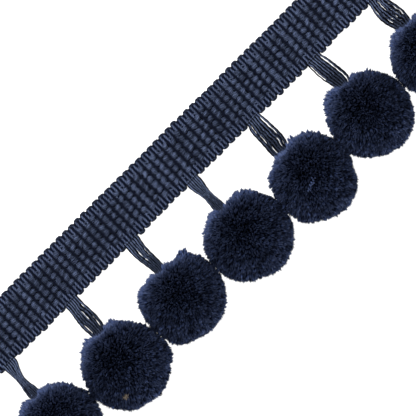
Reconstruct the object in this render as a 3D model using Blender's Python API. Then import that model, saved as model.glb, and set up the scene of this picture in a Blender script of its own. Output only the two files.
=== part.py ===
"""Pompom fringe trim: a ribbed woven heading with a row of pompoms along its lower edge.

Units are metres, with +Z up. The trim lies on a table. +X runs along the heading, +Y points to its
outer edge and -Y to the pompoms. The origin is the middle of the heading's flat back.
"""
from collections import namedtuple
from math import cos, pi, radians, sin

import bmesh
import bpy
from mathutils import Matrix, Vector
from mathutils.geometry import interpolate_bezier

# Driving dimensions of the weave.
RIB_PITCH = 0.0027
RIBS = 72
HEADING_WIDTH = 0.0178
SCALLOP = 0.0005  # how far the edge draws in between two ribs
HANGER_RIBS = 2  # each hanger is the loose yarn of this many ribs
HANGER_NOTCH = 0.0006  # how far the lower edge draws in where a hanger leaves it

# Where the columns of a rib stand, as shares of the pitch, and which of them are on its crown.
RIB_COLUMNS = (0.0, 0.28, 0.72)
RIB_ON_CROWN = (False, True, True)

GAP = 0.0003  # left between pieces that touch

# The hanger.
HANGER_SIDES = 10
HANGER_SECTIONS = 7
HANGER_START_Z = 0.0009
HANGER_THICK_TOP = 0.0013
HANGER_THICK_LOW = 0.0022
HANGER_REACH = 0.0045  # how far a hanger holds its direction at each end
HANGER_GATHER = 0.62  # its width in the pompom, as a share of its width at the pile
HANGER_SEAT = 0.00045  # from its end's middle to the pile, which leaves the gap at its corners

# The pompom.
POMPOM_SIDES = 20
POMPOM_RINGS = 14
POMPOM_HEIGHT = 0.96  # height as a share of the mean width, pressed by its own weight
FLAT_DEPTH = 0.0006  # how much of the pile its weight presses flat
ENTRY_SLOPE = radians(21)  # how far below the level the hanger's end points
DIMPLE_DEPTH = 0.20  # of the radius
DIMPLE_ANGLE = radians(36)

# Sections across the heading, from the outer edge to the pompoms' edge. place is in half widths, crown
# is the height of a rib there, and valley is the height between two ribs.
HeadingRow = namedtuple("HeadingRow", "place crown valley")
HEADING_ROWS = (
    HeadingRow(place=1.00, crown=0.0007, valley=0.0005),
    HeadingRow(place=0.93, crown=0.0013, valley=0.0009),
    HeadingRow(place=0.62, crown=0.0014, valley=0.0009),
    HeadingRow(place=0.54, crown=0.0020, valley=0.0013),
    HeadingRow(place=-0.56, crown=0.0020, valley=0.0013),
    HeadingRow(place=-0.64, crown=0.0014, valley=0.0009),
    HeadingRow(place=-0.93, crown=0.0013, valley=0.0009),
    HeadingRow(place=-1.00, crown=0.0007, valley=0.0005),
)

# A row for each hanger and its pompom. The hanger's middle and width are given where it leaves the
# heading, halfway, and where it enters the pile. The pompom has its middle and its half sizes.
Drop = namedtuple(
    "Drop",
    "top_x mid_x low_x top_width mid_width low_width ball_x ball_y half_x half_y",
)
DROPS = (
    Drop(-0.0812, -0.0825, -0.0828, 0.0044, 0.0030, 0.0033, -0.0832, -0.0338, 0.01310, 0.0136),
    Drop(-0.0541, -0.0543, -0.0543, 0.0049, 0.0057, 0.0056, -0.0559, -0.0345, 0.01390, 0.0146),
    Drop(-0.0271, -0.0274, -0.0271, 0.0050, 0.0043, 0.0036, -0.0280, -0.0329, 0.01370, 0.0132),
    Drop(0.0000, 0.0001, 0.0000, 0.0045, 0.0033, 0.0032, 0.0003, -0.0336, 0.01420, 0.0142),
    Drop(0.0273, 0.0271, 0.0266, 0.0051, 0.0066, 0.0062, 0.0281, -0.0348, 0.01325, 0.0142),
    Drop(0.0541, 0.0549, 0.0552, 0.0051, 0.0062, 0.0063, 0.0548, -0.0331, 0.01310, 0.0142),
    Drop(0.0810, 0.0814, 0.0820, 0.0050, 0.0066, 0.0064, 0.0818, -0.0335, 0.01360, 0.0139),
)

# Colours of the dyed yarns, as linear red, green and blue.
HEADING_COLOUR = (0.045, 0.072, 0.150)
HANGER_COLOUR = (0.030, 0.048, 0.100)
POMPOM_COLOUR = (0.009, 0.017, 0.042)
YARN_ROUGHNESS = 0.85

HALF_WIDTH = HEADING_WIDTH / 2
UP = Vector((0, 0, 1))


def yarn_material(name, colour):
    """A matt dyed yarn."""
    material = bpy.data.materials.new(name)
    material.use_nodes = True
    shader = material.node_tree.nodes["Principled BSDF"]
    shader.inputs["Base Color"].default_value = (*colour, 1)
    shader.inputs["Roughness"].default_value = YARN_ROUGHNESS
    shader.inputs["Metallic"].default_value = 0
    material.diffuse_color = (*colour, 1)
    return material


def finish(bm, name, place, material, collection, parent):
    """Turns a bmesh round its own place into a named object there."""
    bmesh.ops.recalc_face_normals(bm, faces=bm.faces)
    mesh = bpy.data.meshes.new(name)
    bm.to_mesh(mesh)
    bm.free()
    mesh.materials.append(material)
    piece = bpy.data.objects.new(name, mesh)
    piece.location = place
    piece.parent = parent
    collection.objects.link(piece)
    return piece


def new_verts(made):
    """The vertices among what an extrusion made."""
    return [item for item in made["geom"] if isinstance(item, bmesh.types.BMVert)]


def under_hanger(x):
    """Whether a place along the heading is within the ribs whose yarn becomes a hanger."""
    reach = HANGER_RIBS * RIB_PITCH / 2
    nearest = min(abs(x - round(drop.top_x / RIB_PITCH) * RIB_PITCH) for drop in DROPS)
    return nearest < reach - RIB_PITCH / 10


def heading_point(column, row_number):
    """Where the heading's face is, at a column along it and a row across it."""
    rib, step = divmod(column, len(RIB_COLUMNS))
    x = (rib + RIB_COLUMNS[step] - RIBS / 2) * RIB_PITCH
    row = HEADING_ROWS[row_number]
    on_crown = RIB_ON_CROWN[step]
    drawn_in = 0
    if row.place == -1 and under_hanger(x):
        drawn_in = HANGER_NOTCH
    elif abs(row.place) == 1 and not on_crown:
        drawn_in = SCALLOP
    y = row.place * (HALF_WIDTH - drawn_in)
    return Vector((x, y, row.crown if on_crown else row.valley))


def make_heading():
    """A grid shaped into ribs, with walls down to a flat back."""
    columns = RIBS * len(RIB_COLUMNS)
    rows = len(HEADING_ROWS) - 1
    bm = bmesh.new()
    bmesh.ops.create_grid(bm, x_segments=columns, y_segments=rows, size=1)
    for vert in bm.verts:
        column = round((vert.co.x + 1) / 2 * columns)
        row_number = round((1 - vert.co.y) / 2 * rows)
        vert.co = heading_point(column, row_number)
    rim = [edge for edge in bm.edges if edge.is_boundary]
    wall = bmesh.ops.extrude_edge_only(bm, edges=rim)
    for vert in new_verts(wall):
        vert.co.z = 0
    foot = [edge for edge in bm.edges if edge.is_boundary]
    bmesh.ops.contextual_create(bm, geom=foot)
    return bm


def pompom_half_height(drop):
    """Half a pompom's height, before its flat spot is cut."""
    return POMPOM_HEIGHT * (drop.half_x + drop.half_y) / 2


def pompom_middle(drop):
    """The middle of a pompom that stands on its flat spot."""
    return Vector((drop.ball_x, drop.ball_y, pompom_half_height(drop) - FLAT_DEPTH))


def entry_direction(drop):
    """The way from a pompom's middle to where its hanger comes out."""
    side = (drop.low_x - drop.ball_x) / drop.half_y
    return Vector((side, cos(ENTRY_SLOPE), -sin(ENTRY_SLOPE))).normalized()


def pile_share(angle):
    """The radius at an angle from the hanger, which is less in the dimple where the pile parts."""
    if angle >= DIMPLE_ANGLE:
        return 1
    return 1 - DIMPLE_DEPTH * (1 - (angle / DIMPLE_ANGLE) ** 2) ** 2


def make_pompom(drop):
    """A ball of cut pile with a dimple for its hanger and a flat spot to lie on."""
    bm = bmesh.new()
    bmesh.ops.create_uvsphere(bm, u_segments=POMPOM_SIDES, v_segments=POMPOM_RINGS, radius=1)
    for vert in bm.verts:
        vert.co *= pile_share(vert.co.angle(UP))
    turn = UP.rotation_difference(entry_direction(drop)).to_matrix().to_4x4()
    stretch = Matrix.Diagonal((drop.half_x, drop.half_y, pompom_half_height(drop), 1))
    bmesh.ops.transform(bm, matrix=stretch @ turn, verts=bm.verts)
    floor = Vector((0, 0, -pompom_middle(drop).z))
    everything = bm.verts[:] + bm.edges[:] + bm.faces[:]
    bmesh.ops.bisect_plane(bm, geom=everything, plane_co=floor, plane_no=-UP, clear_outer=True)
    cut = [edge for edge in bm.edges if edge.is_boundary]
    bmesh.ops.contextual_create(bm, geom=cut)
    return bm


def hanger_start(drop):
    """Where a hanger leaves the heading's lower edge."""
    return Vector((drop.top_x, -HALF_WIDTH + SCALLOP - GAP, HANGER_START_Z))


def hanger_end(drop):
    """Where a hanger ends, in its pompom's dimple."""
    direction = entry_direction(drop)
    gathered = HANGER_GATHER * drop.low_width / 2
    seat_angle = gathered / drop.half_y
    depth = drop.half_y * pile_share(seat_angle) * cos(seat_angle) + HANGER_SEAT
    return pompom_middle(drop) + direction * depth


def between(first, middle, last, share):
    """A value that runs from first, through middle halfway, to last."""
    if share < 0.5:
        return first + (middle - first) * share * 2
    return middle + (last - middle) * (share * 2 - 1)


def hanger_frames(drop):
    """A placed and stretched frame for each section of a hanger, seen from its start."""
    start = hanger_start(drop)
    end = hanger_end(drop)
    leave = start - Vector((0, HANGER_REACH, 0))
    enter = end + entry_direction(drop) * HANGER_REACH
    middles = interpolate_bezier(start, leave, enter, end, HANGER_SECTIONS)
    directions = [after - before for before, after in zip(middles, middles[2:])]
    directions = [leave - start, *directions, end - enter]
    across = Vector((1, 0, 0))
    frames = []
    for number, (middle, along) in enumerate(zip(middles, directions)):
        share = number / (HANGER_SECTIONS - 1)
        along.x = 0
        along.normalize()
        x = between(drop.top_x, drop.mid_x, drop.low_x, share)
        width = between(drop.top_width, drop.mid_width, drop.low_width, share)
        if number == HANGER_SECTIONS - 1:
            width *= HANGER_GATHER
        thick = HANGER_THICK_TOP + (HANGER_THICK_LOW - HANGER_THICK_TOP) * sin(share * pi / 2)
        columns = (across * width / 2, along.cross(across) * thick / 2, along)
        frame = Matrix(columns).transposed().to_4x4()
        frame.translation = Vector((x, middle.y, middle.z)) - start
        frames.append(frame)
    return frames


def make_hanger(drop):
    """A flat bunch of threads: a ring that is extruded from frame to frame and capped."""
    bm = bmesh.new()
    frames = hanger_frames(drop)
    bmesh.ops.create_circle(bm, cap_ends=True, segments=HANGER_SIDES, radius=1, matrix=frames[0])
    ring = bm.edges[:]
    for last, frame in zip(frames, frames[1:]):
        made = bmesh.ops.extrude_edge_only(bm, edges=ring)
        moved = new_verts(made)
        bmesh.ops.transform(bm, matrix=frame @ last.inverted(), verts=moved)
        ring = [edge for edge in bm.edges if edge.verts[0] in moved and edge.verts[1] in moved]
    bmesh.ops.contextual_create(bm, geom=ring)
    return bm


def main():
    for old in list(bpy.data.objects):
        bpy.data.objects.remove(old)
    collection = bpy.data.collections.new("pompom_fringe_trim")
    bpy.context.scene.collection.children.link(collection)
    trim = bpy.data.objects.new("trim", None)
    collection.objects.link(trim)

    band = yarn_material("heading_yarn", HEADING_COLOUR)
    finish(make_heading(), "heading", Vector(), band, collection, trim)
    for number, drop in enumerate(DROPS, start=1):
        thread = yarn_material(f"hanger_yarn_{number}", HANGER_COLOUR)
        name = f"hanger_{number}"
        finish(make_hanger(drop), name, hanger_start(drop), thread, collection, trim)
        pile = yarn_material(f"pompom_pile_{number}", POMPOM_COLOUR)
        name = f"pompom_{number}"
        ball = finish(make_pompom(drop), name, pompom_middle(drop), pile, collection, trim)
        ball.data.shade_smooth()
        ball.data.set_sharp_from_angle(angle=radians(40))


main()
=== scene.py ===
# %% [markdown]
# # Pompom fringe trim
# A trim like this edges a cushion or a curtain. It has three parts: a woven
# heading, which is sewn to the cloth, short bunches of loose yarn that hang from
# it, and a cut pompom on each bunch. This lesson builds them over the plain solids
# of the same trim, so that each yarn lies where the solid says.
#
# The first cell loads those solids. They never move.

from math import cos, pi, radians, sin, tau

import bmesh
import bpy
import numpy as np
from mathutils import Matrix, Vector, kdtree, noise
from mathutils.geometry import interpolate_bezier


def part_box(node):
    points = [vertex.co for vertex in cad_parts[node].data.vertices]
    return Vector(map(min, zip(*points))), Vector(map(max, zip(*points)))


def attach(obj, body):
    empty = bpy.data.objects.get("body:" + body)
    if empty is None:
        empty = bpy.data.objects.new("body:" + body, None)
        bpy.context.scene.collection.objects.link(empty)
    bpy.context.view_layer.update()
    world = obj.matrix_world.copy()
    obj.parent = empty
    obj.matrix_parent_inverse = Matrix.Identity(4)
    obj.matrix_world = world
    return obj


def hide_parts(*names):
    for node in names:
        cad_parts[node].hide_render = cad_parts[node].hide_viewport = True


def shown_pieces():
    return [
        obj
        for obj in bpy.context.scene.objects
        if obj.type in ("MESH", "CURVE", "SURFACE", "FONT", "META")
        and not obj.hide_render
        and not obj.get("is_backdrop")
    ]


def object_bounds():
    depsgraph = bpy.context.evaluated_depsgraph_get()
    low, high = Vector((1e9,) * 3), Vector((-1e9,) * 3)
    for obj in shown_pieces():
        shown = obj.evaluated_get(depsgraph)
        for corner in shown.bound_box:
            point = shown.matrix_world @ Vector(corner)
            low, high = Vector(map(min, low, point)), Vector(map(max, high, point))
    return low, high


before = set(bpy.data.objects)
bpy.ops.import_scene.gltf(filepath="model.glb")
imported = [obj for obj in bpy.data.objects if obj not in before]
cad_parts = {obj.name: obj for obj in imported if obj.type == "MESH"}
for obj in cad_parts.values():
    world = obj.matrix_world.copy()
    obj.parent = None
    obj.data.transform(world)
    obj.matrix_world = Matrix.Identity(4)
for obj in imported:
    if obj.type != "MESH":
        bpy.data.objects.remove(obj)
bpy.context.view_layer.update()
MM = 0.001

# %% [markdown]
# ## The table, the light and the camera
# The trim lies on a white table under a large soft lamp, the way a shop shows its
# goods. The lamp is on the heading's side, so the upper rim of each pompom catches
# more light than the lower one, and a weaker lamp fills in from the other side.
# The table glows, as a white sweep that is lit from behind does, so it stays white
# and its shadows pale. The sky is white to look at but lights the trim weakly.
#
# The camera looks straight down from far away with a long lens, which keeps the
# pompoms round at the edges of the view. It is turned by an eighth, so the trim
# crosses the view from corner to corner.

# %% Set the table
scene = bpy.context.scene


def add(name, data):
    """A new object in the scene, at the origin."""
    thing = bpy.data.objects.new(name, data)
    scene.collection.objects.link(thing)
    return thing


def principled(material):
    """The surface shader of a new material."""
    material.use_nodes = True
    return material.node_tree.nodes["Principled BSDF"]


TABLE_SIZE = 6.0
TABLE_DROP = 0.0002
bm = bmesh.new()
bmesh.ops.create_grid(bm, x_segments=1, y_segments=1, size=TABLE_SIZE / 2)
bmesh.ops.translate(bm, vec=(0, 0, -TABLE_DROP), verts=bm.verts)
table_mesh = bpy.data.meshes.new("table")
bm.to_mesh(table_mesh)
bm.free()
table = add("table", table_mesh)
table_paint = bpy.data.materials.new("table white")
surface = principled(table_paint)
surface.inputs["Base Color"].default_value = (0.3, 0.3, 0.3, 1)
surface.inputs["Roughness"].default_value = 0.9
surface.inputs["Emission Color"].default_value = (1, 1, 1, 1)
surface.inputs["Emission Strength"].default_value = 1.0
table_mesh.materials.append(table_paint)
table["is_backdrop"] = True
print("table", TABLE_SIZE, "m wide")

# %% Light it
SKY_LIGHT = 0.30  # of the sky's seen brightness
scene.view_settings.view_transform = "Standard"
world = bpy.data.worlds.new("studio")
scene.world = world
world.use_nodes = True
sky = world.node_tree.nodes["Background"]
sky.inputs["Color"].default_value = (1.0, 1.0, 1.0, 1)
sight = world.node_tree.nodes.new("ShaderNodeLightPath")
power = world.node_tree.nodes.new("ShaderNodeMapRange")
power.inputs["To Min"].default_value = SKY_LIGHT
power.inputs["To Max"].default_value = 1.0
world.node_tree.links.new(sight.outputs["Is Camera Ray"], power.inputs["Value"])
world.node_tree.links.new(power.outputs["Result"], sky.inputs["Strength"])


def soft_lamp(name, place, target, size, watts):
    """A square lamp that faces the target."""
    data = bpy.data.lights.new(name, "AREA")
    data.size = size
    data.energy = watts
    lamp = add(name, data)
    lamp.visible_camera = False
    lamp.location = place
    lamp.rotation_euler = (Vector(target) - Vector(place)).to_track_quat("-Z", "Y").to_euler()


soft_lamp("key lamp", (-0.08, 0.36, 0.75), (0, -0.02, 0), 0.35, 10.2)
soft_lamp("fill lamp", (0.10, -0.62, 0.20), (0, -0.03, 0), 0.45, 2.6)

# %% Place the camera
CAMERA_HEIGHT = 2.19
VIEW_MIDDLE = (-0.0025, -0.0181)
camera_data = bpy.data.cameras.new("camera")
camera_data.sensor_width = 36
camera_data.lens = 600
camera_data.clip_start = 0.01
camera = add("camera", camera_data)
camera.location = (*VIEW_MIDDLE, CAMERA_HEIGHT)
camera.rotation_euler = (0, 0, radians(-45))
scene.camera = camera
field = CAMERA_HEIGHT * camera_data.sensor_width / camera_data.lens
print("the view is", round(field / MM), "mm wide")

# %% [markdown]
# ## How yarn is laid
# Every yarn on the trim is a long thin tube on a route. A tube could be swept by
# hand from rings, but a curve object does this better: its bevel makes the tube,
# its caps close the ends, and a tilt along it twists the strands of a cord.
#
# The curves are made into one mesh, and the caps are welded on. The mesh gets a UV
# map on which every yarn lies in one of eight columns: across a column is once
# round the yarn, and up it is along the yarn. The yarns of a column lie on each
# other, so one small picture of twisted yarn serves the whole piece, and the
# columns let neighbouring yarns differ in tone.

# %% The yarn layer
COLUMNS = 8
# Painted shade: the last two columns colour yarn darker where it lies in shade.
DIM, DARK = 6, 7  # the last two columns are for yarn in shade
MAP_NAME = "OFBake"
CAP_SPREAD = 0.2  # of a column


def circle_of(name, radius, strands=0, depth=0.0, points=12):
    """A closed outline that a yarn is swept from, with a bulge for each strand."""
    curve = bpy.data.curves.new(name, "CURVE")
    curve.dimensions = "2D"
    spline = curve.splines.new("POLY")
    spline.points.add(points - 1)
    for number, point in enumerate(spline.points):
        angle = tau * number / points
        reach = radius * (1 + depth * cos(strands * angle))
        point.co = (reach * cos(angle), reach * sin(angle), 0, 1)
    spline.use_cyclic_u = True
    return add(name, curve)


def swept(name, routes, outline):
    """The tube mesh of all the routes. A route's rows are x, y, z, width share and tilt."""
    curve = bpy.data.curves.new(name, "CURVE")
    curve.dimensions = "3D"
    curve.bevel_mode = "OBJECT"
    curve.bevel_object = outline
    curve.use_fill_caps = True
    for route in routes:
        spline = curve.splines.new("POLY")
        spline.points.add(len(route) - 1)
        places = np.ones((len(route), 4))
        places[:, :3] = route[:, :3]
        spline.points.foreach_set("co", places.ravel())
        spline.points.foreach_set("radius", route[:, 3].copy())
        spline.points.foreach_set("tilt", route[:, 4].copy())
    holder = add(name, curve)
    seen = holder.evaluated_get(bpy.context.evaluated_depsgraph_get())
    mesh = bpy.data.meshes.new_from_object(seen)
    bpy.data.objects.remove(holder)
    bpy.data.curves.remove(curve)
    return mesh


def map_yarn(mesh, routes, sides, columns, repeat, shift):
    """Gives each yarn its column of the map, which it climbs once in each repeat of rings.
    columns holds an array for each route, with a column for each of its rings. Each
    yarn starts as many rings further up the map as its shift says."""
    caps = 2 * sides * len(routes)
    firsts = caps + sides * np.cumsum([0] + [len(route) for route in routes])
    corners = np.zeros(len(mesh.loops), int)
    mesh.loops.foreach_get("vertex_index", corners)
    places = np.zeros((len(corners), 2))
    on_cap = corners < caps
    angle = tau * (corners % sides) / sides
    places[:, 0] = (0.5 + CAP_SPREAD * np.cos(angle)) / COLUMNS
    places[:, 1] = 0.5 + CAP_SPREAD * np.sin(angle)
    tube = np.flatnonzero(~on_cap).reshape(-1, 4)
    route_of = np.searchsorted(firsts, corners[tube], side="right") - 1
    local = corners[tube] - firsts[route_of]
    ring, side = local // sides, local % sides
    first_ring = ring.min(axis=1, keepdims=True)
    wraps = (side.max(axis=1, keepdims=True) - side.min(axis=1, keepdims=True)) > 1
    side = np.where(wraps & (side == 0), sides, side)
    ring_columns = np.concatenate(columns)
    ring_firsts = (firsts - caps) // sides
    column = ring_columns[ring_firsts[route_of[:, :1]] + first_ring]
    places[tube, 0] = (column + side / sides) / COLUMNS
    started = np.array(shift)[route_of[:, :1]]
    places[tube, 1] = ((first_ring + started) % repeat + ring - first_ring) / repeat
    for layer in list(mesh.uv_layers):
        mesh.uv_layers.remove(layer)
    mesh.uv_layers.new(name=MAP_NAME)
    mesh.uv_layers[MAP_NAME].data.foreach_set("uv", places.ravel())


def lay_yarn(name, routes, outline, columns, repeat, shift=None):
    """A piece made of yarns, one for each route."""
    sides = len(outline.data.splines[0].points)
    mesh = swept(name, routes, outline)
    map_yarn(mesh, routes, sides, columns, repeat, shift or [0] * len(routes))
    bm = bmesh.new()
    bm.from_mesh(mesh)
    bmesh.ops.remove_doubles(bm, verts=bm.verts, dist=0.000001)
    bmesh.ops.recalc_face_normals(bm, faces=bm.faces)
    for face in bm.faces:
        face.smooth = True
    bm.to_mesh(mesh)
    bm.free()
    mesh.validate()
    print(name, len(routes), "yarns,", len(mesh.loops) - 2 * len(mesh.polygons), "triangles")
    return add(name, mesh)


# %% [markdown]
# ## The weft of the heading
# The weft runs to and fro across the heading as one long cord. Two runs of it make
# a rib. It turns in a small loop at each edge: the lower loops join the two runs
# of a rib, and the upper ones join a rib to the next, which makes the scalloped
# edges. Where a bunch of yarn hangs down, the lower loops of two ribs are missing,
# because their yarn is the bunch.
#
# The cord is three strands twisted together. Three tubes would be exact, but one
# tube with a three-lobed outline and a tilt along it reads the same, with a third
# of the faces.

# %% Measure the heading
random = np.random.default_rng(72)
head_low, head_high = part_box("heading")
RIBS = 72
RIB = (head_high.x - head_low.x) / RIBS
EDGE = head_high.y
HEIGHT = head_high.z
CORD = 0.50 * MM  # the weft's radius
RUN = RIB / 4  # from a rib's middle to each of its two runs
LOOP_START = EDGE - 0.86 * MM  # where the runs end and the turns begin
UPPER_REACH = 0.44 * MM  # from there to the middle of a turn
LOWER_REACH = 0.50 * MM
RIB_SHIFT = 0.45 * MM  # how far the cut at each end is from a groove
MIDDLE_Z = HEIGHT / 2
COVERED_Z = 0.86 * MM
MARGIN_Z = 0.92 * MM
LOOP_Z = 0.62 * MM
print("heading", RIBS, "ribs,", round(RIB / MM, 2), "mm apart,", round(2 * EDGE / MM, 1), "mm wide")


def rib_x(rib):
    """The middle of a rib."""
    return head_low.x + (rib + 0.5) * RIB + RIB_SHIFT


# %% [markdown]
# The drops are the bunches and their pompoms. Each row says, in millimetres, where
# a bunch leaves the heading and enters its pompom, how wide it is there, and where
# the pompom's middle is and how big it is, as in the plan of the plain solids. How
# far those solids lie from it is printed as a test.

# %% Plan the drops
DROPS = (
    # top and low x; top and low width; pompom x, y; its half width, half depth
    ((-81.2, -82.8), (4.4, 3.3), (-83.2, -33.8), (13.10, 13.6)),
    ((-54.1, -54.3), (4.9, 5.6), (-55.9, -34.5), (13.90, 14.6)),
    ((-27.1, -27.1), (5.0, 3.6), (-28.0, -32.9), (13.70, 13.2)),
    ((0.0, 0.0), (4.5, 3.2), (0.3, -33.6), (14.20, 14.2)),
    ((27.3, 26.6), (5.1, 6.2), (28.1, -34.8), (13.25, 14.2)),
    ((54.1, 55.2), (5.1, 6.3), (54.8, -33.1), (13.10, 14.2)),
    ((81.0, 82.0), (5.0, 6.4), (81.8, -33.5), (13.60, 13.9)),
)
for number, (_, _, (x, y), (_, half_y)) in enumerate(DROPS, 1):
    low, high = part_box(f"pompom_{number}")
    off = ((low.x + high.x) / 2 / MM - x, low.y / MM + half_y - y)
    print("pompom", number, "off by, mm:", [round(side, 2) for side in off])


def open_ribs():
    """The ribs whose lower loops are missing, two at each bunch."""
    found = set()
    for xs, _, _, _ in DROPS:
        after = round((xs[0] * MM - head_low.x - RIB_SHIFT) / RIB)
        found |= {after - 1, after}
    return found


OPEN = open_ribs()
print("no lower loop at ribs", sorted(OPEN))

# %% Route the weft
TWIST = tau / (6.5 * MM)  # turns of the cord's strands
MARGIN_STEPS = 6
UNDER_STEPS = 9
LOOP_STEPS = 7
COVERED = 5.3 * MM  # the warp covers the runs nearer than this to the middle
UNDER_START = COVERED - 0.9 * MM
# Painted shade: the runs are coloured darker where the warp covers them.
HIDDEN = COVERED - 0.6 * MM  # the runs are dark nearer than this to the middle
WEFT_REPEAT = 5  # rings
PINCH = 0.94  # how near the warp pulls a rib's two runs
LEG_WIDTH = 0.70  # the runs are pulled thinner than the turns
TURN_WIDTH = 1.10
TURN_BULGE = 1.14  # how much wider a turn is than the space between its runs


def run_line(run):
    """One run across the heading, from its upper end to its lower one."""
    x = rib_x(run // 2) + (RUN if run % 2 else -RUN)
    upper = np.linspace(LOOP_START, COVERED, MARGIN_STEPS)
    under = np.linspace(UNDER_START, -UNDER_START, UNDER_STEPS)
    y = np.concatenate([upper, under, -upper[::-1]])
    inside = np.clip((LOOP_START - np.abs(y)) / (LOOP_START - COVERED), 0, 1)
    side = 1 if run % 2 else -1
    xs = x - side * RUN * (1 - PINCH) * inside + random.normal(0, 0.02 * MM, len(y))
    wander = np.sin(y / EDGE * 2.2 + random.uniform(0, tau)) * random.normal(0, 0.04 * MM)
    zs = MARGIN_Z + (COVERED_Z - MARGIN_Z) * inside**2 - (MARGIN_Z - LOOP_Z) * (1 - inside) ** 3 * 0.6
    zs = zs + random.normal(0, 0.03 * MM)
    return np.column_stack([xs + wander, y, zs])


def loop_line(start, end, way):
    """The turn between two runs' ends, which bulges by way and dips as it turns."""
    middle = (start + end) / 2
    half = (end - start) / 2
    bulge = (UPPER_REACH if way > 0 else LOWER_REACH) * random.normal(1.0, 0.22)
    points = []
    for step in range(1, LOOP_STEPS + 1):
        angle = pi * step / (LOOP_STEPS + 1)
        point = middle - half * TURN_BULGE * np.sign(cos(angle)) * abs(cos(angle)) ** 0.6
        point[1] += way * bulge * sin(angle) ** 0.6
        point[2] -= (point[2] - LOOP_Z) * sin(angle)
        points.append(point)
    return np.array(points)


def finish_route(pieces):
    """Joins the runs and turns of one stretch, with its twist and its columns."""
    line = np.concatenate([piece for piece, _ in pieces])
    steps = np.linalg.norm(np.diff(line, axis=0), axis=1)
    along = np.concatenate([[0], np.cumsum(steps)])
    widths = [np.full(len(piece), TURN_WIDTH if turning else LEG_WIDTH) for piece, turning in pieces]
    width = np.concatenate(widths) * random.normal(1.0, 0.02, len(line))
    route = np.column_stack([line, width, along * TWIST])
    columns = []
    for piece, turning in pieces:
        # The turns get a painted shade column, and the runs under the warp the darkest painted shade.
        tone = DIM if turning else random.integers(1, DIM)
        columns.append(np.where(np.abs(piece[:, 1]) < HIDDEN, DARK, tone))
    return route, np.concatenate(columns)


def weft_routes():
    """The stretches of the weft, each from one missing loop to the next."""
    runs = [run_line(run) for run in range(2 * RIBS)]
    routes, columns, pieces = [], [], []
    for run, line in enumerate(runs):
        down = run % 2 == 0
        line = line if down else line[::-1]
        pieces.append((line, False))
        last = run == 2 * RIBS - 1
        if last or (down and run // 2 in OPEN):
            route, column = finish_route(pieces)
            routes.append(route)
            columns.append(column)
            pieces = []
            continue
        following = runs[run + 1]
        if down:
            pieces.append((loop_line(line[-1], following[-1], -1), True))
        else:
            pieces.append((loop_line(line[-1], following[0], 1), True))
    return routes, columns


cord_outline = circle_of("cord outline", CORD * 0.94, strands=3, depth=0.12)
routes, columns = weft_routes()
weft = lay_yarn("heading_weft", routes, cord_outline, columns, WEFT_REPEAT)

# %% [markdown]
# ## The warp of the heading
# Fine yarns run along the heading in bundles, over one rib and under the next, and
# each bundle does the opposite of its neighbours. A bundle spreads into a fat knot
# where it passes over a rib, and it draws together where it dives between two
# ribs, which makes the dark grooves, deepened with painted shade. The outer yarns
# of a knot are painted darker too, as shade where it rounds down. Twisted yarn
# pulls aslant, so the knots lean.
#
# A picture of a weave on a flat band would lose the grooves, so every yarn is laid
# on its own route.

# %% Route the warp
BUNDLES = 11
FIRST_BUNDLE = 5.50 * MM
BUNDLE_PITCH = 1.075 * MM
YARNS = 4
RIB_POINTS = 5  # points of a yarn's route for each rib
PINCHED = 0.55  # how far a bundle is spread where it dives
WARP = 0.225 * MM  # the yarn's radius
YARN_PITCH = 0.45 * MM
CLIMB = HEIGHT / 2 - WARP
CROSSING_Z = 0.50 * MM
SHOULDER = 0.70 * MM  # from a rib's middle to where the bundle turns down
CROWN = 0.26 * MM  # from a rib's middle to the ends of a knot's top
LEAN = 0.24 * MM
DOME = 0.74 * MM  # how much lower the outer yarns of a knot lie

# Each knot differs: how far it shifts, how fat it is, how much it leans, how wide its top is.
KNOT_SHIFT = random.normal(0, 0.10 * MM, (BUNDLES, RIBS))
KNOT_FAT = random.normal(1.04, 0.10, (BUNDLES, RIBS))
KNOT_LEAN = random.normal(1.0, 0.8, (BUNDLES, RIBS)) * LEAN
KNOT_TOP = random.normal(1.0, 0.10, (BUNDLES, RIBS)) * SHOULDER


def warp_route(bundle, yarn):
    """One yarn's way along the heading. A step says how far along, how high and how spread."""
    spread = (yarn - (YARNS - 1) / 2) * YARN_PITCH
    y = FIRST_BUNDLE - bundle * BUNDLE_PITCH
    points = []
    for rib in range(RIBS):
        over = 1 if (bundle + rib) % 2 == 0 else -1
        knot, fat = KNOT_SHIFT[bundle, rib], KNOT_FAT[bundle, rib]
        top = KNOT_TOP[bundle, rib]
        steps = ((-RIB / 2, 0, PINCHED), (-top, 0.70, 0.9), (-CROWN, 1, 1), (CROWN, 1, 1), (top, 0.70, 0.9))
        for x, rise, open_by in steps:
            round_off = DOME * (spread / (1.5 * YARN_PITCH)) ** 2 * rise * over
            stagger = 0.10 * MM * (-1) ** yarn * (1 - rise)
            lean = KNOT_LEAN[bundle, rib] * over * sin(pi * x / RIB) if rise else -LEAN * over
            width = open_by if over > 0 else PINCHED + 0.2 * rise
            z = (MIDDLE_Z if rise else CROSSING_Z) + over * CLIMB * rise - round_off + stagger
            points.append((
                rib_x(rib) + x + random.normal(0, 0.03 * MM),
                y + spread * width * fat + lean + knot * rise + random.normal(0, 0.02 * MM),
                max(z + random.normal(0, 0.02 * MM), WARP * 1.05),
                0.9 + 0.1 * rise,
                0,
            ))
    points[0] = (head_low.x + 0.05 * MM, *points[0][1:])
    points.append((head_high.x - 0.05 * MM, y + spread * PINCHED, MIDDLE_Z, 0.9, 0))
    return np.array(points)


yarn_outline = circle_of("yarn outline", WARP, points=5)
routes = [warp_route(bundle, yarn) for bundle in range(BUNDLES) for yarn in range(YARNS)]
columns = []
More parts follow.
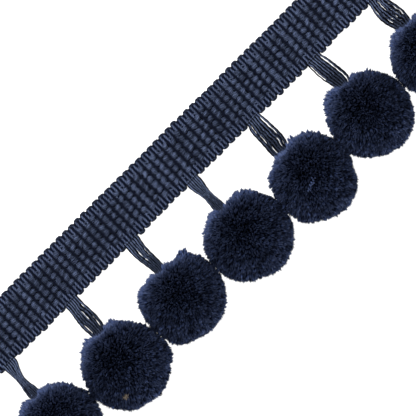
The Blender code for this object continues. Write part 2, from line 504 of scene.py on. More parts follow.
# The outer yarns of a knot take the darker columns, as painted shade where the knot rounds down; each rib's
# tone also differs at random.
rib_tone = random.integers(-1, 2, RIBS + 1)
for number, route in enumerate(routes):
    outer = number % YARNS in (0, YARNS - 1)
    tones = random.integers(0, 3, RIBS + 1) if outer else random.integers(1, DIM, RIBS + 1)
    tones = np.clip(tones + rib_tone, 0, DIM - 1)
    columns.append(np.repeat(tones, RIB_POINTS)[: len(route)])
warp = lay_yarn("heading_warp", routes, yarn_outline, columns, RIB_POINTS)

# %% [markdown]
# ## The ground of the heading
# Under the knots and between the runs the weave is packed too tight to see
# through. A thin closed cloth in the middle of the heading stands for this.

# %% Make the ground
GROUND_INSET = 0.50 * MM
GROUND_THICK = 0.30 * MM
GROUND_Z = 0.62 * MM
GROUND_WAVE = 0.10 * MM  # it rises under each run and sinks between them
bm = bmesh.new()
bmesh.ops.create_grid(bm, x_segments=RIBS * 2, y_segments=12, size=1)
half_length = (head_high.x - head_low.x) / 2 - GROUND_INSET
bmesh.ops.scale(bm, vec=(half_length, EDGE - GROUND_INSET, 1), verts=bm.verts)
bmesh.ops.translate(bm, vec=(0, 0, GROUND_Z), verts=bm.verts)
for vert in bm.verts:
    vert.co.z += GROUND_WAVE * cos(pi * (vert.co.x - rib_x(0)) / (RIB / 2))
bmesh.ops.recalc_face_normals(bm, faces=bm.faces)
bmesh.ops.solidify(bm, geom=bm.faces[:], thickness=GROUND_THICK)
bmesh.ops.recalc_face_normals(bm, faces=bm.faces)
ground_mesh = bpy.data.meshes.new("heading_ground")
bm.to_mesh(ground_mesh)
bm.free()
ground_mesh.shade_smooth()
ground = add("heading_ground", ground_mesh)
print("ground", len(ground_mesh.polygons), "faces")

# %% [markdown]
# ## The bunches
# The yarn of two ribs leaves the heading as two dozen single threads. They stay
# crinkled from the weaving, and each bunch has its own habit: some are drawn to a
# waist, some belly out and let light through their slits. Each thread is a tube on
# its own route, and a small helix on the route is the crinkle.
#
# The threads share the space between a bunch's edges and its slits. Every fourth
# one lies on the others. The others are coloured dark with painted shade, as they
# lie under, and the upper ones darken toward the pompom with painted shade,
# because yarns this thin would blend into one flat tone.

# %% Measure the bunches
# Each bunch: its left and right edge in millimetres at five places down it, and its
# slits, which are where across it (-1 to 1), from and to in mm down, and mm wide.
DOWN = (0.5, 3.5, 6.5, 9.5, 12.5)  # mm below the heading
SHAPES = (
    (((-83.9, -79.2), (-83.7, -80.6), (-83.7, -81.4), (-84.2, -81.0), (-84.3, -80.9)),
     ((0.04, 0.8, 2.4, 0.28),)),
    (((-56.4, -51.5), (-56.7, -51.5), (-57.1, -51.3), (-57.1, -51.4), (-56.8, -52.1)),
     ((0.20, 3.2, 8.0, 0.24), (0.76, 1.6, 4.6, 0.26), (-0.68, 7.6, 12.0, 0.34), (0.68, 7.0, 12.2, 0.34))),
    (((-29.6, -24.4), (-29.7, -25.0), (-29.4, -25.1), (-28.9, -25.1), (-28.7, -25.2)),
     ((-0.20, 1.9, 6.2, 0.32), (-0.20, 6.0, 8.4, 0.28), (0.68, 3.2, 7.4, 0.24))),
    (((-2.1, 2.4), (-1.7, 2.0), (-1.2, 1.6), (-1.4, 1.8), (-1.3, 1.8)),
     ()),
    (((24.8, 30.0), (24.0, 30.3), (23.9, 30.4), (23.6, 30.3), (23.7, 29.3)),
     ((-0.68, 0.2, 4.0, 0.34), (0.76, 0.1, 8.8, 0.40), (-0.60, 4.2, 8.6, 0.34),
      (-0.44, 8.8, 13.2, 0.30), (0.52, 5.6, 8.4, 0.14), (0.44, 8.4, 12.4, 0.26), (0.68, 9.6, 13.2, 0.26))),
    (((51.6, 57.0), (51.6, 57.7), (51.8, 58.1), (52.4, 58.3), (53.0, 57.4)),
     ((-0.92, 0.0, 7.6, 0.42), (0.76, 0.2, 13.5, 0.46))),
    (((78.9, 83.8), (78.1, 84.3), (78.0, 84.9), (78.6, 85.0), (79.4, 84.3)),
     ((-0.76, 1.0, 6.2, 0.26), (0.04, 0.4, 5.4, 0.40), (0.76, 1.8, 10.2, 0.34), (0.44, 4.6, 6.6, 0.26),
      (0.28, 6.4, 9.6, 0.36), (0.52, 6.6, 9.6, 0.32), (-0.44, 5.4, 6.9, 0.20), (-0.52, 6.9, 9.6, 0.36),
      (-0.20, 7.0, 9.1, 0.32), (0.20, 9.1, 11.2, 0.28))),
)
for number, (edges, slits) in enumerate(SHAPES, 1):
    wide = [round(right - left, 1) for left, right in edges]
    print("bunch", number, "mm wide:", wide, "with", len(slits), "slits")

# %% Route the threads
THREAD = 0.20 * MM
UPPER_WIDTH, LOWER_WIDTH, OUTER_WIDTH = 1.15, 1.30, 1.20  # shares of the thread's width
THREADS = 25  # in a bunch: every fourth one lies on the others
SLIT_END = 1.0  # mm over which a slit opens and closes
OVERLAP = 0.20  # mm that neighbouring threads share
STEPS = 38
LEAVE_Z = 0.95 * MM
REACH = 4.5 * MM
ENTRY_SLOPE = radians(21)
POMPOM_HEIGHT = 0.96
PRESSED = 0.6 * MM
LAYER = 0.34 * MM
CRINKLE = 0.05 * MM
SLIP = 0.4 * MM  # how unevenly the threads start
ENTRY_DEPTH = 0.84  # of the pompom's half depth
BURIED = (1.5, 3.0, 4.5)  # mm that the threads go on from there
LOWEST = 0.29 * MM  # a thread lies no lower on the table
THREAD_TURN = radians(90)
THREAD_REPEAT = 19  # rings


def pompom_middle(drop):
    """Where a pompom's middle is, and its three half sizes."""
    _, _, (x, y), (half_x, half_y) = drop
    half_z = POMPOM_HEIGHT * (half_x + half_y) / 2 * MM
    return Vector((x * MM, y * MM, half_z - PRESSED)), Vector((half_x * MM, half_y * MM, half_z))


def entry_direction(drop):
    """The way from a pompom's middle to where its bunch comes out."""
    side = (drop[0][1] - drop[2][0]) / drop[3][1]
    return Vector((side, cos(ENTRY_SLOPE), -sin(ENTRY_SLOPE))).normalized()


def opened(across, down, slits, half_width):
    """Where a thread lies across its bunch: the slits take their width, the threads share the rest."""
    taken = before = 0
    for at, start, end, width in slits:
        inside = min(max(min(down - start, end - down) / SLIT_END, 0), 1)
        gap = (0.6 * width + OVERLAP) / half_width * (3 - 2 * inside) * inside**2
        taken += gap
        before += gap if across > at else 0
    return -1 + (across + 1) / 2 * (2 - taken) + before


def bunch_routes(drop, edges, slits):
    """The threads of one bunch, and the thread that ties them at the edge."""
    xs, widths, _, _ = drop
    middle, halves = pompom_middle(drop)
    inward = -entry_direction(drop)
    start = Vector((xs[0] * MM, -EDGE + 1.0 * MM, LEAVE_Z))
    inside = middle - inward * halves.y * ENTRY_DEPTH
    spine = interpolate_bezier(start, start - Vector((0, REACH, 0)), inside - inward * REACH, inside, STEPS)
    spine += [inside + inward * step * MM for step in BURIED]
    downs = [(-EDGE - place.y) / MM for place in spine]
    held = np.clip(downs, DOWN[0], DOWN[-1])
    lefts, rights = (np.polyval(np.polyfit(DOWN, side, 4), held) for side in zip(*edges))
    routes = []
    for thread in range(THREADS):
        across = (thread + 0.5 + random.uniform(-0.12, 0.12)) / THREADS * 2 - 1
        on_top = thread % 4 == 2
        level = LAYER * (1 if on_top else -1) * random.uniform(0.8, 1.3)
        width = UPPER_WIDTH if on_top else LOWER_WIDTH
        if thread in (0, THREADS - 1):
            width = OUTER_WIDTH
        phase, turns = random.uniform(0, tau), random.uniform(5.0, 9.0)
        bend = random.uniform(0, tau, 3)
        slip = random.uniform(0, SLIP)
        points = []
        for number, place in enumerate(spine):
            share = min(number / (STEPS - 1), 1)
            half_width = (rights[number] - lefts[number]) / 2 + 0.05
            sway = 0.03 * sum(sin(bend[k] + (k + 1) * 3.1 * share) for k in range(3)) * sin(pi * share)
            sway *= 1.7 if on_top else 1
            parted = opened(across, downs[number], slits, half_width) + sway / half_width
            if number >= STEPS:
                half_width *= 0.8 - 0.15 * (number - STEPS)
            crinkle = CRINKLE * min(1, 4 * share)
            x = (lefts[number] + rights[number]) / 2 + half_width * parted
            x = x * MM + crinkle * cos(phase + turns * tau * share)
            z = place.z + level * (0.6 + 0.8 * share) + crinkle * sin(phase + turns * tau * share)
            y = place.y + slip * (1 - share)
            points.append((x, y, max(z, LOWEST), width * random.normal(1, 0.05), THREAD_TURN))
        routes.append(np.array(points))
    tie = []
    for step in np.linspace(-1, 1, 9):
        x = xs[0] * MM + step * widths[0] * MM * 0.54
        y = -EDGE + 0.75 * MM + 0.1 * MM * step
        tie.append((x, y, LEAVE_Z + 0.62 * MM - 0.55 * MM * step**4, 0.8, 0))
    routes.append(np.array(tie))
    return routes


def bunch_columns(routes):
    """Each thread's columns. The lower threads, the outermost ones and the tie get painted shade, and the
    upper ones darken with painted shade on their way down.
    """
    columns = []
    for number, route in enumerate(routes):
        tones = random.choice((DIM, DARK, DARK, DARK), len(route))
        if number % 4 == 2:
            fade = np.linspace(random.uniform(3.0, 5.5), random.uniform(-4.0, -1.0), len(route))
            tones = np.clip(np.round(fade + random.normal(0, 0.9, len(route))), 0, DIM - 1)
        if number in (0, THREADS - 1):
            tones[:] = DARK
        columns.append(tones)
    columns[-1][:] = DARK
    return columns


thread_outline = circle_of("thread outline", THREAD, points=5)
bunches = []
for number, (drop, (edges, slits)) in enumerate(zip(DROPS, SHAPES), 1):
    routes = bunch_routes(drop, edges, slits)
    columns = bunch_columns(routes)
    shift = list(random.integers(0, THREAD_REPEAT, len(routes)))
    name = f"hanger_{number}_threads"
    bunches.append(lay_yarn(name, routes, thread_outline, columns, THREAD_REPEAT, shift))

# %% [markdown]
# ## The pompoms
# A pompom is a thick tie of yarn that is cut all round and trimmed to a ball. Its
# pile is thousands of yarn ends. Each end widens from the tie toward its shoulder
# and closes to a short tip, single hairs stand a little proud, and ends that stand
# together form tufts. The pile opens in a cleft where the bunch goes in, and every
# ball is trimmed a little differently.
#
# Hair particles don't export, and bump alone leaves a smooth rim. So the ends are
# real shapes of six faces: the cone operator makes one, its foot is drawn out to a
# point for the root, and arrays place its copies. Their places spread over the
# ball on a golden spiral, which is even without rows.

# %% Make one yarn end
SHOULDER_AT = 0.78  # where a yarn end is widest, as a share of its length


def cone_shape():
    """A single hair: a three-sided cone of height 1, its point at the top."""
    bm = bmesh.new()
    bmesh.ops.create_cone(bm, cap_ends=True, segments=3, radius1=1, radius2=0, depth=1)
    bmesh.ops.translate(bm, vec=(0, 0, 0.5), verts=bm.verts)
    return as_arrays(bm)


def end_shape():
    """A yarn end: a short cone whose foot is drawn down to a point, the root."""
    bm = bmesh.new()
    tip = 1 - SHOULDER_AT
    bmesh.ops.create_cone(bm, cap_ends=True, segments=3, radius1=1, radius2=0, depth=tip)
    bmesh.ops.translate(bm, vec=(0, 0, SHOULDER_AT + tip / 2), verts=bm.verts)
    foot = [face for face in bm.faces if all(vert.co.z < SHOULDER_AT + 0.01 for vert in face.verts)]
    root = bmesh.ops.poke(bm, faces=foot)["verts"]
    bmesh.ops.translate(bm, vec=(0, 0, -SHOULDER_AT), verts=root)
    return as_arrays(bm)


def as_arrays(bm):
    """A small mesh's corners and triangles."""
    bmesh.ops.recalc_face_normals(bm, faces=bm.faces)
    bm.verts.index_update()
    corners = np.array([vert.co for vert in bm.verts])
    faces = np.array([[vert.index for vert in face.verts] for face in bm.faces])
    bm.free()
    return corners, faces


HAIR = cone_shape()
END = end_shape()
print("a hair has", len(HAIR[1]), "faces and a yarn end", len(END[1]))

# %% Place the pile
ENDS = 12500  # yarn ends on a pompom
HAIRS = 4400  # single hairs that stand proud
TUFTS = 1800
END_LENGTH = 4.0 * MM
CORE = 0.76  # of the ball's size
DEEPEST = 0.83  # of the ball's size: the pile opens no deeper, so the core never shows
GOLDEN = pi * (3 - 5**0.5)
CLOSEST = (0, 0.48, 1)  # the pile stands closest here, and painted shade is darkest
# The trim of each ball: degrees from +X, spread in degrees, and mm out or in.
TRIMS = (
    ((120, 20, 0.3),),
    ((130, 22, -0.6), (62, 7, 1.1), (47, 6, -0.6), (105, 8, 0.4), (160, 8, -0.6), (255, 14, -0.7),
     (335, 18, 1.4)),
    ((47, 8, 2.4), (28, 14, 1.0), (65, 7, -3.2), (79, 5, 0.9), (112, 10, -0.3), (124, 8, 0.4),
     (136, 18, 1.0), (220, 16, 1.4)),
    ((44, 10, 0.7), (58, 8, 0.3), (77, 7, -4.4), (100, 6, 0.6), (112, 14, 0.0), (155, 16, 0.7),
     (205, 12, 0.5), (245, 16, -0.7)),
    ((45, 14, 0.7), (80, 8, 0.6), (104, 8, 1.2), (123, 8, -0.9), (145, 14, 1.1), (180, 20, 1.0),
     (210, 14, 1.4), (330, 16, -0.8)),
    ((100, 7, 0.8), (115, 22, 1.4), (155, 18, 0.9), (190, 20, 0.9), (215, 16, 0.7), (35, 20, -0.3),
     (56, 10, -0.6), (72, 5, 1.0), (81, 6, -5.2)),
    ((142, 16, -0.7), (100, 14, 0.4)),
)
TOUCHING = ((0, 18, 0.30), (180, 18, 0.30))  # each ball is pushed against its neighbours
UNDYED_FROM = 0.93  # yarn ends of a higher tone are undyed
# Odd yarns: which ball, x, y and half sizes in millimetres, and the tone.
MARKS = (
    (2, -63.0, -42.2, 1.0, 0.8, 0.96),
    (5, 23.9, -36.3, 1.0, 0.6, 0.66),
    (5, 25.6, -35.7, 1.2, 0.6, 0.86),
    (5, 27.1, -35.1, 0.8, 0.6, 0.74),
)
CLEFTS = (2.2, 2.6, 3.2, 3.0, 2.0, 3.2, 2.4)  # mm, how deep the pile opens at the bunch


def spiral(count):
    """Directions spread evenly over a ball."""
    height = 1 - 2 * (np.arange(count) + 0.5) / count
    turn = GOLDEN * np.arange(count)
    level = np.sqrt(1 - height**2)
    return np.column_stack([level * np.cos(turn), level * np.sin(turn), height])


def unit(vectors):
    """The same directions with a length of 1."""
    return vectors / np.linalg.norm(vectors, axis=1, keepdims=True)


def waves(directions, scale, seed):
    """A smooth uneven value for each direction, from about -1 to 1."""
    offset = Vector((seed * 3.7, seed * 1.9, seed * 5.3))
    return np.array([noise.noise(Vector(way) * scale + offset) for way in directions])


def trimmed(ways, number, drop):
    """How far out the cut tips stand, as a share of the ball, with the trim and the cleft."""
    _, halves = pompom_middle(drop)
    size = 1 + 0.012 * waves(ways, 2.2, number) + 0.014 * waves(ways, 6.0, number + 20)
    level = np.degrees(np.arctan2(ways[:, 1], ways[:, 0]))
    tilt = np.degrees(np.arcsin(np.clip(ways[:, 2], -1, 1)))
    for at, spread, amount in (*TRIMS[number - 1], *TOUCHING):
        turn = (level - at + 180) % 360 - 180
        off = np.hypot(turn * np.cos(np.radians(tilt)), tilt * 0.7)
        size += amount * MM / halves.y * np.exp(-((off / spread) ** 2))
    entry = (drop[0][1] - drop[2][0]) * MM
    beside = (ways[:, 0] * halves.x - entry) / (drop[1][1] * MM * 0.55)
    toward = np.clip(ways[:, 1], 0, 1) ** 2 * np.clip((38 - tilt) / 25, 0, 1)
    size -= CLEFTS[number - 1] * MM / halves.y * np.exp(-(beside**2)) * toward
    return np.maximum(size, DEEPEST)


def pile_places(number, drop):
    """For each yarn end and hair: its root, its tip, its half width and its tone."""
    middle, halves = (np.array(v) for v in pompom_middle(drop))
    tuft_ways = unit(spiral(TUFTS) + random.normal(0, 0.012, (TUFTS, 3)))
    tuft_tree = kdtree.KDTree(TUFTS)
    for index, way in enumerate(tuft_ways):
        tuft_tree.insert(way, index)
    tuft_tree.balance()
    tuft_rise = random.normal(0, 0.016, TUFTS)
    tuft_tone = random.normal(0, 0.13, TUFTS)
    count = ENDS + HAIRS
    ways = unit(np.concatenate([spiral(ENDS), spiral(HAIRS)]) + random.normal(0, 0.008, (count, 3)))
    nearest = np.array([tuft_tree.find(way)[1] for way in ways])
    beside = np.clip(ways[:, 1:2], 0, 1) * np.clip(1 - ways[:, 2:3], 0, 1)
    pull = random.uniform(0.05, 0.60, (count, 1)) * (1 + 0.6 * beside)
    tips = unit(ways * (1 - pull) + tuft_ways[nearest] * pull)
    rise = tuft_rise[nearest] * (1 + 0.3 * beside[:, 0])
    size = trimmed(tips, number, drop) + rise + random.normal(0, 0.012, count)
    hair = np.arange(count) >= ENDS
    size[hair] += random.uniform(0.0, 0.045, HAIRS) + 0.045 * beside[hair, 0]
    tip = middle + tips * halves * size[:, None]
    focus = middle + halves * (0, 0.22, 0)
    lean = unit(tip - focus) + random.normal(0, 0.16, (count, 3))
    length = END_LENGTH * random.uniform(0.85, 1.1, (count, 1))
    root = tip - unit(lean) * length
    tip[:, 2] = np.maximum(tip[:, 2], random.uniform(0.05, 0.35, count) * MM)
    root[:, 2] = np.maximum(root[:, 2], random.uniform(0.3, 0.8, count) * MM)
    half = np.where(hair, random.uniform(0.06, 0.12, count), random.uniform(0.18, 0.34, count)) * MM
    from_closest = np.degrees(np.arccos(np.clip(tips @ unit(np.array([CLOSEST]))[0], -1, 1)))
    painted_light_off_crown = np.clip(from_closest / 90, 0, 1.15) ** 2.0
    change = tuft_tone[nearest] + random.normal(0, 0.16, count) + 0.10 * waves(tips, 3.0, number + 40)
    # The tone: painted shade darkest near CLOSEST and lighter away from it, painted light on the rim toward
    # the heading, on the lamp's side, and the tufts' and single ends' own changes.
    tone = 0.08 + 0.36 * painted_light_off_crown + change * (0.45 + 0.75 * painted_light_off_crown) + 1.65 * beside[:, 0] ** 2
    tone = np.clip(tone, 0.02, 0.90)
    for ball, x, y, long, wide, mark in MARKS:
        if ball == number:
            off = np.hypot((tip[:, 0] / MM - x) / long, (tip[:, 1] / MM - y) / wide)
            marked = (off < 1) & (tip[:, 2] > middle[2])
            tone[marked] = mark
            if mark > UNDYED_FROM:
                half[marked] = np.minimum(half[marked], 0.10 * MM)
    return root, tip, half, tone, hair


# %% Build the pile
TONE_SPREAD = 0.012  # the width of one yarn end on the map
TABLE_GAP = 0.02 * MM  # the lowest the pile reaches, pressed flat on the table


def copies(shape, root, tip, half, roll):
    """The corners and faces of one copy of the shape for each root and tip."""
    corners, faces = shape
    along = tip - root
    way = unit(along)
    aside = unit(np.cross(way, (0.31, 0.17, 0.93)))
    across = np.cross(way, aside)
    turned = aside * np.cos(roll)[:, None] + across * np.sin(roll)[:, None]
    other = np.cross(way, turned)
    places = root[:, None] + corners[None, :, 2:3] * along[:, None]
    places = places + half[:, None, None] * corners[None, :, 0:1] * turned[:, None]
    places = places + half[:, None, None] * corners[None, :, 1:2] * other[:, None]
    numbers = faces[None] + len(corners) * np.arange(len(root))[:, None, None]
    return places.reshape(-1, 3), numbers.reshape(-1, 3)


def end_map(shape, tone):
    """The map of the copies: across it is the tone, and up it runs from root to tip."""
    corners, faces = shape
    places = np.zeros((len(tone), len(faces), 3, 2))
    for number, face in enumerate(faces):
        flat = np.ptp(corners[face, 2]) < 0.01
        for corner, vertex in enumerate(face):
            height = 0.01 + 0.98 * corners[vertex, 2]
            if flat and corner == 1:
                height += 0.02
            places[:, number, corner, 0] = tone + (corner - 1) * TONE_SPREAD
            places[:, number, corner, 1] = height
    return places.reshape(-1, 2)


def core_shape(middle, halves):
    """The dense heart of the pompom, which no light comes through."""
    bm = bmesh.new()
    bmesh.ops.create_icosphere(bm, subdivisions=4, radius=CORE)
    bmesh.ops.scale(bm, vec=halves, verts=bm.verts)
    bmesh.ops.translate(bm, vec=middle, verts=bm.verts)
    return as_arrays(bm)


def make_pompom(number, drop):
    """One pompom: its heart, its yarn ends and its hairs, as one mesh."""
    root, tip, half, tone, hair = pile_places(number, drop)
    roll = random.uniform(0, tau, len(root))
    middle, halves = pompom_middle(drop)
    corners, faces = core_shape(middle, halves)
    # The heart takes the near-black root colour of the map: painted shade, deep in the pile.
    shade = np.zeros((len(faces), 3, 2))
    shade[:, :, 0] = 0.4 + 0.1 * np.array((0, 1, 0.5))
    shade[:, :, 1] = 0.01 + 0.02 * np.array((0, 0, 1))
    parts = [(corners, faces, shade.reshape(-1, 2))]
    for chosen, shape in ((~hair, END), (hair, HAIR)):
        placed = copies(shape, root[chosen], tip[chosen], half[chosen], roll[chosen])
        parts.append((*placed, end_map(shape, tone[chosen])))
    places, numbers, maps, first = [], [], [], 0
    for part_corners, part_faces, part_map in parts:
        places.append(part_corners)
        numbers.append(part_faces + first)
        maps.append(part_map)
        first += len(part_corners)
    places = np.concatenate(places)
    places[:, 2] = np.maximum(places[:, 2], TABLE_GAP)
    mesh = bpy.data.meshes.new(f"pompom_{number}_pile")
    mesh.from_pydata(places, (), np.concatenate(numbers))
    mesh.shade_smooth()
    mesh.uv_layers.new(name=MAP_NAME)
    mesh.uv_layers[MAP_NAME].data.foreach_set("uv", np.concatenate(maps).ravel())
    print(mesh.name, len(mesh.polygons), "triangles")
    return add(mesh.name, mesh)


pompoms = [make_pompom(number, drop) for number, drop in enumerate(DROPS, 1)]

# %% [markdown]
# ## The yarn's finish
# The trim is one navy, dyed in the yarn. What differs is how each part takes the
# light. Twisted yarn shows its strands as light ridges with dark grooves between
# them, fine streaks of single fibres, and small changes of tone from yarn to yarn.
# The ridges' light and the grooves' dark are bumped and also painted into the
# colour, as painted highlight and painted shade.
# One node group makes these from the yarn's map, so the weft, the warp and the
# threads share it, each with its own number of strands and its own colours.
#
# Some of the shade is painted into the colours too, so that the dark lines between
# such fine yarns don't wash out. The last two columns of the map are painted shade,
# Dark ends paints shade on a knot where it dives, and Underside keeps a shaded
# thread navy where it faces down, so its painted shade lies only on its top and sides.

# %% The yarn group
def socket(group, name, kind, way="INPUT", value=None):
    """A named input or output of a node group."""
    made = group.interface.new_socket(name=name, in_out=way, socket_type="NodeSocket" + kind)
    if value is not None:
        made.default_value = value


def maths(tree, operation, first, second=None, third=None):
    """A maths node on values or links, and its result."""
    node = tree.nodes.new("ShaderNodeMath")
    node.operation = operation
    for number, value in enumerate((first, second, third)):
        if value is None:
            continue
        if isinstance(value, (int, float)):
            node.inputs[number].default_value = value
        else:
            tree.links.new(value, node.inputs[number])
    return node.outputs[0]


def mixed(tree, share, first, second):
    """The colour between two colours."""
    node = tree.nodes.new("ShaderNodeMix")
    node.data_type = "RGBA"
    for name, value in (("Factor_Float", share), ("A_Color", first), ("B_Color", second)):
        target = next(i for i in node.inputs if i.identifier == name)
        if isinstance(value, (tuple, float, int)):
            target.default_value = value
        else:
            tree.links.new(value, target)
    return next(o for o in node.outputs if o.identifier == "Result_Color")


# Painted shade: the columns for yarn that lies in shade, and how dark each is.
PAINTED_SHADE_COLUMNS = ((DIM, 0.26), (DARK, 0.03))  # and their tones
UNDER_FROM = 0.3  # of the way round, from the side that faces up


def yarn_group():
    """Twisted yarn from its map: colour with painted highlight and shade, roughness and the height of its
    strands.
    """
    group = bpy.data.node_groups.new("twisted yarn", "ShaderNodeTree")
    socket(group, "Map", "Vector")
    for name in ("Groove colour", "Ridge colour"):
        socket(group, name, "Color")
    numbers = {"Strands": 2, "Turns": 2, "Tone range": 0.35, "Dark ends": 0, "Underside": 0}
    for name, value in numbers.items():
        socket(group, name, "Float", value=value)
    for name, kind in (("Colour", "Color"), ("Roughness", "Float"), ("Height", "Float")):
        socket(group, name, kind, "OUTPUT")
    nodes, links = group.nodes, group.links
    inside = nodes.new("NodeGroupInput").outputs
    outside = nodes.new("NodeGroupOutput").inputs
    split = nodes.new("ShaderNodeSeparateXYZ")
    links.new(inside["Map"], split.inputs[0])
    place = maths(group, "MULTIPLY", split.outputs["X"], COLUMNS)
    column = maths(group, "FLOOR", place)
    around = maths(group, "FRACT", place)
    along = split.outputs["Y"]
    wound = maths(group, "MULTIPLY", along, inside["Turns"])
    phase = maths(group, "MULTIPLY_ADD", around, inside["Strands"], wound)
    wave = maths(group, "COSINE", maths(group, "MULTIPLY", phase, tau))
    ridge = maths(group, "MULTIPLY_ADD", wave, 0.5, 0.5)
    strand = nodes.new("ShaderNodeCombineXYZ")
    links.new(maths(group, "MULTIPLY", phase, 9.0), strand.inputs[0])
    links.new(maths(group, "MULTIPLY", along, 3.0), strand.inputs[1])
    links.new(maths(group, "MULTIPLY", column, 7.3), strand.inputs[2])
    fibres = nodes.new("ShaderNodeTexNoise")
    fibres.inputs["Scale"].default_value = 1.0
    fibres.inputs["Detail"].default_value = 2.0
    links.new(strand.outputs[0], fibres.inputs["Vector"])
    fibre = fibres.outputs["Fac"]
    height = maths(group, "MULTIPLY_ADD", fibre, 0.35, maths(group, "MULTIPLY", ridge, 0.65))
    # The strands' ridges take a painted highlight and their grooves painted shade, as well as the bump.
    base = mixed(group, height, inside["Groove colour"], inside["Ridge colour"])
    step = maths(group, "MULTIPLY_ADD", maths(group, "MINIMUM", column, DIM - 1), 0.2, -0.5)
    tone = maths(group, "MULTIPLY_ADD", step, inside["Tone range"], 1.0)
    for dark, share in PAINTED_SHADE_COLUMNS:
        deep = maths(group, "GREATER_THAN", column, dark - 0.5)
        tone = maths(group, "MULTIPLY_ADD", deep, maths(group, "SUBTRACT", share, tone), tone)
    # Underside: a thread's painted shade lies on its top and sides, and its underside stays navy.
    aside = maths(group, "ABSOLUTE", maths(group, "SUBTRACT", around, 0.5))
    under = maths(group, "GREATER_THAN", aside, UNDER_FROM)
    tone = maths(group, "MAXIMUM", tone, maths(group, "MULTIPLY", under, inside["Underside"]))
    # Dark ends: painted shade on a warp knot toward each end of its rib, where it dives into a groove.
    off = maths(group, "ABSOLUTE", maths(group, "SUBTRACT", along, 0.5))
    top = maths(group, "SUBTRACT", 0.5, off)
    lit = nodes.new("ShaderNodeMapRange")
    lit.interpolation_type = "SMOOTHSTEP"
    lit.inputs["From Min"].default_value = 0.03
    lit.inputs["From Max"].default_value = 0.37
    links.new(top, lit.inputs["Value"])
    dim = maths(group, "SUBTRACT", 1.0, lit.outputs["Result"])
    gone = maths(group, "MULTIPLY", dim, inside["Dark ends"])
    tone = maths(group, "MULTIPLY", tone, maths(group, "SUBTRACT", 1.0, gone))
    shaded = nodes.new("ShaderNodeVectorMath")
    shaded.operation = "SCALE"
    links.new(base, shaded.inputs[0])
    links.new(tone, shaded.inputs["Scale"])
    links.new(shaded.outputs[0], outside["Colour"])
    rough = maths(group, "MULTIPLY_ADD", height, -0.2, 0.85)
    links.new(rough, outside["Roughness"])
    links.new(height, outside["Height"])
    return group


TWISTED = yarn_group()
print("group", TWISTED.name, [item.name for item in TWISTED.interface.items_tree])


def yarn_finish(name, groove, ridge, strands, turns, tone_range, dark_ends, underside):
    """A material of twisted yarn."""
    material = bpy.data.materials.new(name)
    shader = principled(material)
    nodes, links = material.node_tree.nodes, material.node_tree.links
    place = nodes.new("ShaderNodeUVMap")
    place.uv_map = MAP_NAME
    yarn = nodes.new("ShaderNodeGroup")
    yarn.node_tree = TWISTED
    links.new(place.outputs["UV"], yarn.inputs["Map"])
    values = ((*groove, 1), (*ridge, 1), strands, turns, tone_range, dark_ends, underside)
    for item, value in zip(yarn.inputs[1:], values):
        item.default_value = value
    links.new(yarn.outputs["Colour"], shader.inputs["Base Color"])
    links.new(yarn.outputs["Roughness"], shader.inputs["Roughness"])
    bump = nodes.new("ShaderNodeBump")
    bump.inputs["Strength"].default_value = 0.6
    bump.inputs["Distance"].default_value = 0.00006
    links.new(yarn.outputs["Height"], bump.inputs["Height"])
    links.new(bump.outputs["Normal"], shader.inputs["Normal"])
    shader.inputs["Specular IOR Level"].default_value = 0.03
    return material


# %% Dress the heading and the threads
# Each finish: name, groove colour (painted shade), ridge colour (painted highlight), strands, turns, tone
# range, dark ends, underside, and the pieces.
FINISHES = (
    ("weft navy", (0.012, 0.016, 0.034), (0.088, 0.114, 0.196), 3, 1, 0.50, 0, 0, [weft]),
    ("warp navy", (0.014, 0.019, 0.041), (0.095, 0.123, 0.210), 2, 2, 0.85, 0.95, 0, [warp]),
    ("thread navy", (0.004, 0.006, 0.012), (0.106, 0.137, 0.234), 2, 14, 1.30, 0, 0.5, bunches),
)
for *values, dressed in FINISHES:
    finish = yarn_finish(*values)
    for piece in dressed:
        piece.data.materials.append(finish)
    print(finish.name, "on", len(dressed), "pieces")

# %% [markdown]
# The ground shows only as darkness between the yarns. It still gets the fine
# ribs of cloth from a wave along X, on the object's own coordinates.

# %% Dress the ground
def ground_finish():
    """Close-woven cloth, coloured near-black as painted shade between the yarns."""
    material = bpy.data.materials.new("ground painted shade")
    shader = principled(material)
    nodes, links = material.node_tree.nodes, material.node_tree.links
    place = nodes.new("ShaderNodeTexCoord")
    ribs = nodes.new("ShaderNodeTexWave")
    ribs.bands_direction = "X"
    ribs.inputs["Scale"].default_value = 900
    ribs.inputs["Distortion"].default_value = 1.5
    links.new(place.outputs["Object"], ribs.inputs["Vector"])
    # Near-black colours: the ground is painted as the shade between the yarns, not in the yarn's navy.
    ramp = nodes.new("ShaderNodeValToRGB")
    ramp.color_ramp.elements[0].color = (0.002, 0.003, 0.008, 1)
    ramp.color_ramp.elements[1].color = (0.006, 0.008, 0.018, 1)
    links.new(ribs.outputs["Fac"], ramp.inputs["Fac"])
    links.new(ramp.outputs["Color"], shader.inputs["Base Color"])
    shader.inputs["Roughness"].default_value = 0.95
    shader.inputs["Specular IOR Level"].default_value = 0.03
    return material


ground_mesh.materials.append(ground_finish())
print("ground dressed")

# %% [markdown]
# ## The pile's finish
# Light falls between the yarn ends and doesn't come back, so a pompom is almost
# black where its pile stands closest, and paler where it stands looser. The map
# carries this as painted shade: up it runs from the dark root to the paler tip of
# each yarn end, and across it runs the tone, which holds the tuft's own tone,
# painted shade where the pile stands closest and painted light on the rim toward
# the heading, on the lamp's side. The palest tones are odd yarns, and the last of
# them are undyed. Cut ends scatter light, so the pile has no gloss.

# %% Dress the pompoms
UNDYED = (0.21, 0.175, 0.14, 1)
TONE_BASE, TONE_GAIN = 0.10, 1.9
PALE_FROM, PALE_GAIN = 0.55, 2.0  # tones above the first brighten faster by the second


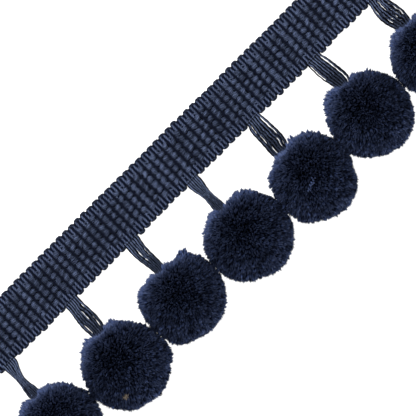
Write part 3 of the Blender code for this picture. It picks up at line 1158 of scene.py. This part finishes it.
def pile_finish():
    """Cut pile, with painted shade along each yarn end, darkest at the root."""
    material = bpy.data.materials.new("pile navy")
    shader = principled(material)
    tree = material.node_tree
    nodes, links = tree.nodes, tree.links
    place = nodes.new("ShaderNodeUVMap")
    place.uv_map = MAP_NAME
    split = nodes.new("ShaderNodeSeparateXYZ")
    links.new(place.outputs["UV"], split.inputs[0])
    ramp = nodes.new("ShaderNodeValToRGB")
    # Painted shade along each yarn end: near-black at the root, deep in the pile, and palest toward the
    # tip.
    stops = (
        (0.00, (0.0007, 0.0012, 0.0046)),
        (0.35, (0.0022, 0.0038, 0.0135)),
        (0.62, (0.0076, 0.0122, 0.0325)),
        (0.80, (0.0195, 0.0290, 0.0690)),
        (1.00, (0.0360, 0.0450, 0.0780)),
    )
    elements = ramp.color_ramp.elements
    while len(elements) < len(stops):
        elements.new(0.5)
    for element, (at, colour) in zip(elements, stops):
        element.position = at
        element.color = (*colour, 1)
    links.new(split.outputs["Y"], ramp.inputs["Fac"])
    tone = maths(tree, "MULTIPLY_ADD", split.outputs["X"], TONE_GAIN, TONE_BASE)
    over = maths(tree, "SUBTRACT", split.outputs["X"], PALE_FROM)
    pale = maths(tree, "MAXIMUM", over, 0.0)
    tone = maths(tree, "MULTIPLY_ADD", pale, PALE_GAIN, tone)
    shaded = nodes.new("ShaderNodeVectorMath")
    shaded.operation = "SCALE"
    links.new(ramp.outputs["Color"], shaded.inputs[0])
    links.new(tone, shaded.inputs["Scale"])
    undyed = maths(tree, "GREATER_THAN", split.outputs["X"], UNDYED_FROM)
    colour = mixed(tree, undyed, shaded.outputs[0], UNDYED)
    links.new(colour, shader.inputs["Base Color"])
    shader.inputs["Roughness"].default_value = 0.85
    shader.inputs["Specular IOR Level"].default_value = 0.0
    return material


pile_navy = pile_finish()
for pompom in pompoms:
    pompom.data.materials.append(pile_navy)
print("materials", [material.name for material in bpy.data.materials])

# %% [markdown]
# ## Putting it on the plain model
# Every piece rides on the model's one body and stands for the plain solid that it
# was laid over. The outlines that the yarns were swept from have done their work.

# %% Attach the pieces
for outline in (cord_outline, yarn_outline, thread_outline):
    bpy.data.objects.remove(outline)
for piece in (ground, weft, warp):
    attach(piece, "root")
    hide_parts("heading")
for number, bunch in enumerate(bunches, 1):
    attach(bunch, "root")
    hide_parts(f"hanger_{number}")
for number, pompom in enumerate(pompoms, 1):
    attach(pompom, "root")
    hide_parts(f"pompom_{number}")
triangles = sum(len(o.data.loops) - 2 * len(o.data.polygons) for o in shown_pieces())
print("triangles in all", triangles)

# %% Measure the finished trim
low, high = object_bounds()
print("finished trim, mm:", [round(side / MM, 1) for side in high - low])
